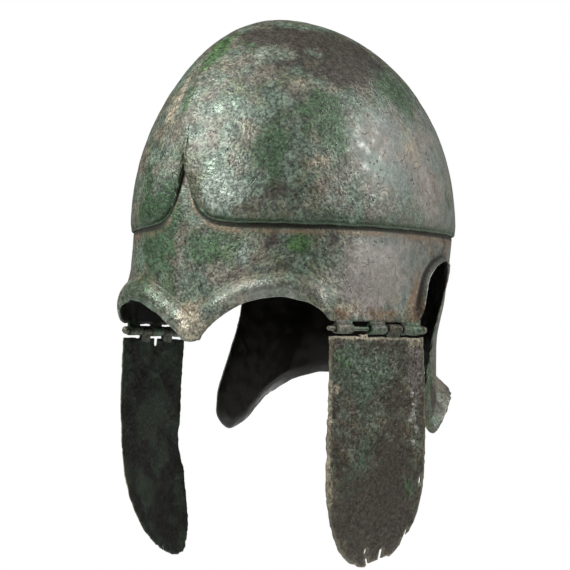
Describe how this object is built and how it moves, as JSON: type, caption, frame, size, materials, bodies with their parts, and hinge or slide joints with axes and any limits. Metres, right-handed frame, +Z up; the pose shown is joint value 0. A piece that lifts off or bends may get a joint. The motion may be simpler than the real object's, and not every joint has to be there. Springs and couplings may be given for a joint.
{
  "type": "chalcidian helmet",
  "caption": "Bronze chalcidian helmet with a domed stepped crown, arched brows, short nasal, ear cut-outs, flared neck guard and cheek pieces hinged at the temples.",
  "frame": {"origin": "centre of the ridge that runs round the helmet under its crown, where it sits on a head", "axes": "+Z up through the crown, -Y to the front of the face, +X to the wearer's left"},
  "size_m": [0.1914, 0.223, 0.3383],
  "materials": {
    "skull_bronze": "bronze with a mottled green, grey and brown patina, smooth in places",
    "cheek_bronze": "bronze under a rough dark brown and olive crust with green spots",
    "pin_bronze": "worn brown-green bronze"
  },
  "bodies": {
    "skull": {"skull": "skull_bronze", "hinge_pin_left": "pin_bronze", "hinge_pin_right": "pin_bronze"},
    "cheek_left": {"cheek_left": "cheek_bronze"},
    "cheek_right": {"cheek_right": "cheek_bronze"}
  },
  "joints": [
    {"name": "cheek_left_hinge", "type": "hinge", "parent": "skull", "child": "cheek_left", "pos_m": [0.08432, -0.03518, -0.062], "axis": [-0.1736, -0.9848, 0], "range_deg": [-25, 120]},
    {"name": "cheek_right_hinge", "type": "hinge", "parent": "skull", "child": "cheek_right", "pos_m": [-0.08432, -0.03518, -0.062], "axis": [-0.1736, 0.9848, 0], "range_deg": [-25, 120]}
  ]
}
